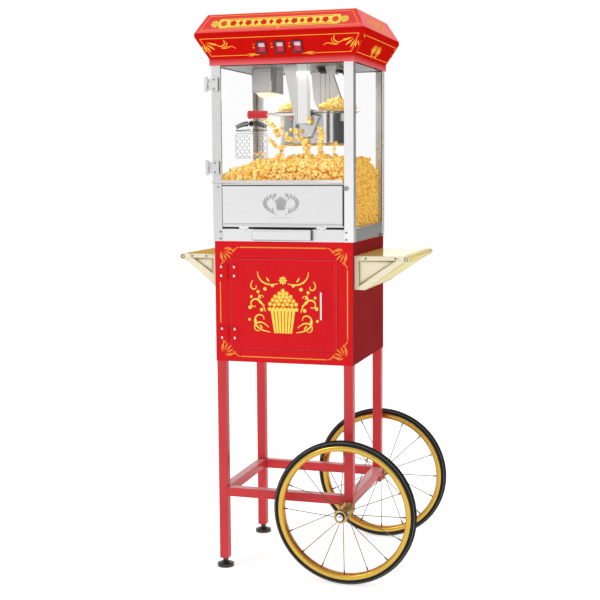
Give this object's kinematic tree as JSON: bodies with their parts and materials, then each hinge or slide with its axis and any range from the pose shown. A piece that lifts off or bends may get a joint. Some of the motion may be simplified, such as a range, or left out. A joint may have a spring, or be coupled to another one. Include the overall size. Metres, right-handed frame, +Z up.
{
  "type": "popcorn maker",
  "caption": "Glass-cabinet popcorn popper with a tilting stirred kettle, serving flap and kernel drawer, on a red two-wheeled cart with side shelves.",
  "frame": {"origin": "on the floor under the middle of the whole cart, wheels and side shelves counted", "axes": "+Z up, the front with its doors and switches faces -Y, the wheeled end is at +X"},
  "size_m": [0.6912, 0.5686, 1.55],
  "materials": {
    "red enamel": "gloss enamel on steel",
    "dark red enamel": "gloss enamel on steel",
    "leg red": "satin powder coat",
    "cream enamel": "gloss enamel",
    "bright steel": "satin stainless",
    "grey steel": "zinc plated",
    "polished steel": "polished stainless",
    "white enamel": "gloss enamel",
    "gold paint": "gold enamel",
    "brass": "satin brass",
    "rubber": "matt black rubber",
    "tyre": "matt black rubber",
    "black plastic": "fine texture",
    "red plastic": "translucent red",
    "grip": "smooth phenolic",
    "clear pane": "polished clear",
    "lamp lens": "frosted, lit",
    "cast alloy": "machined"
  },
  "bodies": {
    "frame": {"left_legs": "leg red", "right_legs": "leg red", "stretchers": "leg red", "axle": "grey steel", "cabinet_front": "red enamel", "cabinet_walls": "dark red enamel", "cabinet_floor": "red enamel", "cabinet_top": "red enamel", "cabinet_hinges": "red enamel", "shelf_left": "cream enamel", "shelf_right": "cream enamel", "shelf_ends": "cream enamel", "base_rails": "bright steel", "popcorn_deck": "bright steel", "sifter_grate": "bright steel", "corner_posts": "bright steel", "fixed_panes": "clear pane", "glass_door_hinges": "grey steel", "flap_hinges": "bright steel", "canopy": "red enamel", "ceiling_plate": "bright steel", "switch_bezels": "black plastic", "hanger_arms": "bright steel", "gear_cover": "white enamel", "gear_motor": "grey steel", "kettle_lead": "black plastic", "lamp_housing": "bright steel", "lamp_lens": "lamp lens", "fasteners": "grey steel"},
    "wheel_front": {"tyre_front": "tyre", "rim_front": "gold paint", "spokes_front": "brass", "hub_front": "brass"},
    "wheel_rear": {"tyre_rear": "tyre", "rim_rear": "gold paint", "spokes_rear": "brass", "hub_rear": "brass"},
    "front_foot": {"foot_front": "rubber"},
    "rear_foot": {"foot_rear": "rubber"},
    "cart_door": {"cabinet_door": "red enamel", "cabinet_door_leaves": "red enamel", "door_pull": "polished steel"},
    "drawer": {"kernel_drawer": "bright steel"},
    "window": {"glass_door": "clear pane", "glass_door_leaves": "bright steel"},
    "flap": {"serving_flap": "bright steel"},
    "heat_switch": {"rocker_heat": "red plastic"},
    "stir_switch": {"rocker_stir": "red plastic"},
    "lamp_switch": {"rocker_lamp": "red plastic"},
    "upright_shaft": {"drive_shaft": "cast alloy"},
    "inner_shaft": {"cross_shaft": "cast alloy"},
    "kettle": {"crossbar": "cast alloy", "popping_pan": "polished steel", "kettle_skirt": "polished steel", "heating_ring": "grey steel", "handle_rod": "polished steel", "handle_grip": "grip"},
    "left_lid": {"lid_left": "bright steel"},
    "right_lid": {"lid_right": "bright steel"},
    "stirrer": {"agitator": "cast alloy"}
  },
  "joints": [
    {"name": "wheel_front_spin", "type": "hinge", "parent": "frame", "child": "wheel_front", "pos_m": [0.14565, -0.2263, 0.2], "axis": [0, 1, 0], "continuous": true},
    {"name": "wheel_rear_spin", "type": "hinge", "parent": "frame", "child": "wheel_rear", "pos_m": [0.14565, 0.2263, 0.2], "axis": [0, 1, 0], "continuous": true},
    {"name": "foot_front_turn", "type": "hinge", "parent": "frame", "child": "front_foot", "pos_m": [-0.22195, -0.1693, 0.01], "axis": [0, 0, 1], "continuous": true},
    {"name": "foot_rear_turn", "type": "hinge", "parent": "frame", "child": "rear_foot", "pos_m": [-0.22195, 0.1693, 0.01], "axis": [0, 0, 1], "continuous": true},
    {"name": "cabinet_door_swing", "type": "hinge", "parent": "frame", "child": "cart_door", "pos_m": [-0.20015, -0.187, 0.76], "axis": [0, 0, -1], "range_deg": [0, 110]},
    {"name": "kernel_drawer_slide", "type": "slide", "parent": "frame", "child": "drawer", "axis": [0, -1, 0], "range_m": [0, 0.17]},
    {"name": "glass_door_swing", "type": "hinge", "parent": "frame", "child": "window", "pos_m": [-0.24405, -0.188, 1.25], "axis": [0, 0, -1], "range_deg": [0, 110]},
    {"name": "serving_flap_drop", "type": "hinge", "parent": "frame", "child": "flap", "pos_m": [-0.03815, -0.1838, 0.9706], "axis": [1, 0, 0], "range_deg": [0, 88]},
    {"name": "heat_switch_rock", "type": "hinge", "parent": "frame", "child": "heat_switch", "pos_m": [-0.08765, -0.19682, 1.45678], "axis": [1, 0, 0], "range_deg": [0, 16]},
    {"name": "stir_switch_rock", "type": "hinge", "parent": "frame", "child": "stir_switch", "pos_m": [-0.03645, -0.19682, 1.45678], "axis": [1, 0, 0], "range_deg": [0, 16]},
    {"name": "lamp_switch_rock", "type": "hinge", "parent": "frame", "child": "lamp_switch", "pos_m": [0.01285, -0.19682, 1.45678], "axis": [1, 0, 0], "range_deg": [0, 16]},
    {"name": "kettle_tilt", "type": "hinge", "parent": "frame", "child": "kettle", "pos_m": [0.01185, 0, 1.272], "axis": [0, -1, 0], "range_deg": [0, 105], "deforming": ["kettle_lead"]},
    {"name": "lid_left_lift", "type": "hinge", "parent": "kettle", "child": "left_lid", "pos_m": [0.00385, 0, 1.2914], "axis": [0, 1, 0], "range_deg": [0, 70]},
    {"name": "lid_right_lift", "type": "hinge", "parent": "kettle", "child": "right_lid", "pos_m": [0.01985, 0, 1.2914], "axis": [0, -1, 0], "range_deg": [0, 70]},
    {"name": "cross_shaft_spin", "type": "hinge", "parent": "kettle", "child": "inner_shaft", "pos_m": [0.01185, -0.08, 1.272], "axis": [0, 1, 0], "continuous": true},
    {"name": "stirrer_spin", "type": "hinge", "parent": "kettle", "child": "stirrer", "pos_m": [0.01185, 0, 1.24], "axis": [0, 0, 1], "continuous": true},
    {"name": "drive_shaft_spin", "type": "hinge", "parent": "frame", "child": "upright_shaft", "pos_m": [0.01185, -0.1494, 1.35], "axis": [0, 0, 1], "continuous": true}
  ],
  "couplings": [
    {"joint": "cross_shaft_spin", "follows": "stirrer_spin", "ratio": -1},
    {"joint": "drive_shaft_spin", "follows": "stirrer_spin", "ratio": 1}
  ]
}
